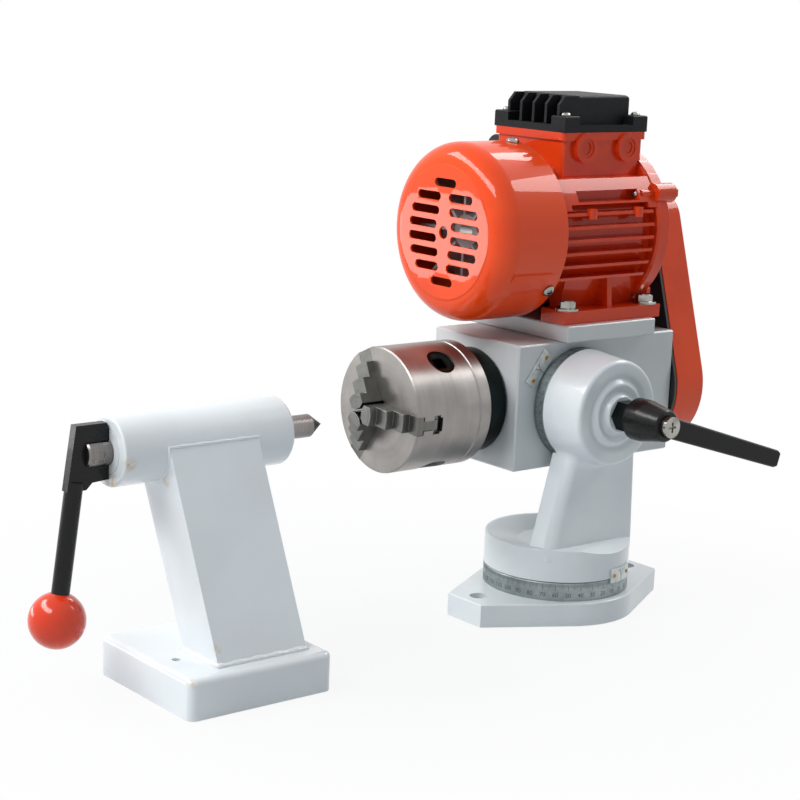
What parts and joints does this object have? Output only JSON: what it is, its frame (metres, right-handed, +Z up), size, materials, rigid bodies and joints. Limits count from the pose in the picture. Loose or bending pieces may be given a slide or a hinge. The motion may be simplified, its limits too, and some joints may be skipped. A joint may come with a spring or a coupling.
{
  "type": "motorized punch former",
  "caption": "Punch grinding fixture: three-jaw chuck on a belt-driven spindle that swivels and tilts on a flanged base, with a matching lever-quill tailstock beside it.",
  "frame": {"origin": "on the swivel axis of the base, in the plane of the base's underside, midway between the two table bolt holes", "axes": "+X along the spindle away from the chuck, -Y toward the clamp lever, +Z up along the swivel axis"},
  "size_m": [0.5019, 0.197, 0.3347],
  "materials": {
    "white_paint": "gloss white paint on machined casting",
    "orange_paint": "gloss orange-red enamel",
    "bare_steel": "turned and ground bare steel",
    "black_oxide": "black oxide steel",
    "black_plastic": "moulded black plastic",
    "black_enamel": "gloss black enamel",
    "zinc_screws": "bright zinc-plated screws",
    "index_alloy": "satin index plate",
    "grey_iron": "laminated iron",
    "grey_alloy": "cast aluminium",
    "pale_plastic": "pale fan plastic",
    "belt_rubber": "black belt",
    "spring_steel": "spring steel",
    "knob_plastic": "gloss orange-red ball"
  },
  "bodies": {
    "base": {"base_plate": "white_paint", "base_scale_ring": "bare_steel"},
    "column": {"column_casting": "white_paint", "swivel_bolt": "black_oxide", "tilt_scale_ring": "bare_steel", "swivel_index_plate": "index_alloy"},
    "head": {"spindle_housing": "white_paint", "tilt_stud": "black_oxide", "tilt_index_plate": "index_alloy", "spindle_bearings": "bare_steel", "motor_plate": "white_paint", "motor_plate_screws": "black_oxide", "motor_frame": "orange_paint", "motor_foot_bolts": "zinc_screws", "stator": "grey_iron", "drive_shield": "orange_paint", "fan_shield": "grey_alloy", "shield_bolts": "orange_paint", "motor_bearings": "bare_steel", "fan_cowl": "orange_paint", "cover_screws": "zinc_screws", "terminal_box": "orange_paint", "entry_plugs": "orange_paint", "cable_gland": "black_plastic", "terminal_lid": "black_plastic", "guard_backplate": "black_enamel", "guard_cover": "orange_paint", "guard_screws": "zinc_screws", "drive_belt": "belt_rubber"},
    "spindle": {"spindle_shaft": "bare_steel", "nose_flange": "black_oxide", "chuck_adapter": "bare_steel", "chuck_body": "bare_steel", "chuck_cover": "bare_steel", "spindle_pulley": "grey_alloy"},
    "scroll": {"scroll_plate": "bare_steel"},
    "jaw_a": {"jaw_1": "bare_steel"},
    "jaw_b": {"jaw_2": "bare_steel"},
    "jaw_c": {"jaw_3": "bare_steel"},
    "pinion_a": {"chuck_pinion_1": "black_oxide"},
    "pinion_b": {"chuck_pinion_2": "black_oxide"},
    "pinion_c": {"chuck_pinion_3": "black_oxide"},
    "rotor": {"motor_shaft": "bare_steel", "rotor_core": "grey_iron", "cooling_fan": "pale_plastic", "motor_pulley": "grey_alloy"},
    "clamp_nut": {"clamp_insert": "black_oxide", "clamp_screw": "zinc_screws", "clamp_spring": "spring_steel"},
    "clamp_handle": {"clamp_lever": "black_enamel"},
    "tailstock": {"tail_base": "white_paint", "tail_post": "white_paint", "tail_tube": "white_paint", "tail_bush": "white_paint", "quill_spring": "spring_steel"},
    "tail_quill": {"quill": "bare_steel", "tail_center": "bare_steel", "lever_pin": "bare_steel"},
    "tail_handle": {"tail_lever": "black_enamel", "ball_knob": "knob_plastic"}
  },
  "joints": [
    {"name": "base_swivel", "type": "hinge", "parent": "base", "child": "column", "pos_m": [0, 0, 0.027], "axis": [0, 0, 1], "continuous": true},
    {"name": "head_tilt", "type": "hinge", "parent": "column", "child": "head", "pos_m": [0, -0.009, 0.138], "axis": [0, 1, 0], "range_deg": [-40, 30]},
    {"name": "spindle_spin", "type": "hinge", "parent": "head", "child": "spindle", "pos_m": [0, 0.0325, 0.138], "axis": [1, 0, 0], "continuous": true},
    {"name": "rotor_spin", "type": "hinge", "parent": "head", "child": "rotor", "pos_m": [0, 0.0375, 0.247], "axis": [1, 0, 0], "continuous": true},
    {"name": "scroll_turn", "type": "hinge", "parent": "spindle", "child": "scroll", "pos_m": [-0.107, 0.0325, 0.138], "axis": [1, 0, 0], "range_deg": [-900, 90]},
    {"name": "jaw_a_slide", "type": "slide", "parent": "spindle", "child": "jaw_a", "axis": [0, -0.9962, -0.0872], "range_m": [-0.00101, 0.01001]},
    {"name": "jaw_b_slide", "type": "slide", "parent": "spindle", "child": "jaw_b", "axis": [0, 0.5736, -0.8192], "range_m": [-0.00101, 0.01001]},
    {"name": "jaw_c_slide", "type": "slide", "parent": "spindle", "child": "jaw_c", "axis": [0, 0.4226, 0.9063], "range_m": [-0.00101, 0.01001]},
    {"name": "pinion_a_turn", "type": "hinge", "parent": "spindle", "child": "pinion_a", "pos_m": [-0.0998, 0.0325, 0.138], "axis": [0, -0.4226, -0.9063], "range_deg": [-3600.5, 360.5]},
    {"name": "pinion_b_turn", "type": "hinge", "parent": "spindle", "child": "pinion_b", "pos_m": [-0.0998, 0.0325, 0.138], "axis": [0, 0.9962, 0.0872], "range_deg": [-3600.5, 360.5]},
    {"name": "pinion_c_turn", "type": "hinge", "parent": "spindle", "child": "pinion_c", "pos_m": [-0.0998, 0.0325, 0.138], "axis": [0, -0.5736, 0.8192], "range_deg": [-3600.5, 360.5]},
    {"name": "clamp_turn", "type": "hinge", "parent": "head", "child": "clamp_nut", "pos_m": [0, -0.06, 0.138], "axis": [0, -1, 0], "range_deg": [0, 120]},
    {"name": "lever_lift", "type": "slide", "parent": "clamp_nut", "child": "clamp_handle", "axis": [0, -1, 0], "range_m": [0, 0.005], "stiffness_N_per_m": 400, "springref_m": -0.004, "deforming": ["clamp_spring"]},
    {"name": "tailstock_set", "type": "slide", "parent": "base", "child": "tailstock", "axis": [0, 1, 0], "range_m": [-0.01, 0.0145]},
    {"name": "quill_slide", "type": "slide", "parent": "tailstock", "child": "tail_quill", "axis": [-1, 0, 0], "range_m": [0, 0.00586], "stiffness_N_per_m": 900, "springref_m": -0.003, "deforming": ["quill_spring"]},
    {"name": "tail_lever_turn", "type": "hinge", "parent": "tail_quill", "child": "tail_handle", "pos_m": [-0.3425, 0.018, 0.138], "axis": [0, 1, 0], "range_deg": [0, 28]}
  ],
  "couplings": [
    {"joint": "rotor_spin", "follows": "spindle_spin", "ratio": 2.6667},
    {"joint": "jaw_a_slide", "follows": "scroll_turn", "m_per_rad": -0.00063662},
    {"joint": "jaw_b_slide", "follows": "scroll_turn", "m_per_rad": -0.00063662},
    {"joint": "jaw_c_slide", "follows": "scroll_turn", "m_per_rad": -0.00063662},
    {"joint": "pinion_a_turn", "follows": "scroll_turn", "ratio": 4},
    {"joint": "pinion_b_turn", "follows": "scroll_turn", "ratio": 4},
    {"joint": "pinion_c_turn", "follows": "scroll_turn", "ratio": 4},
    {"joint": "quill_slide", "follows": "tail_lever_turn", "m_per_rad": 0.012}
  ]
}
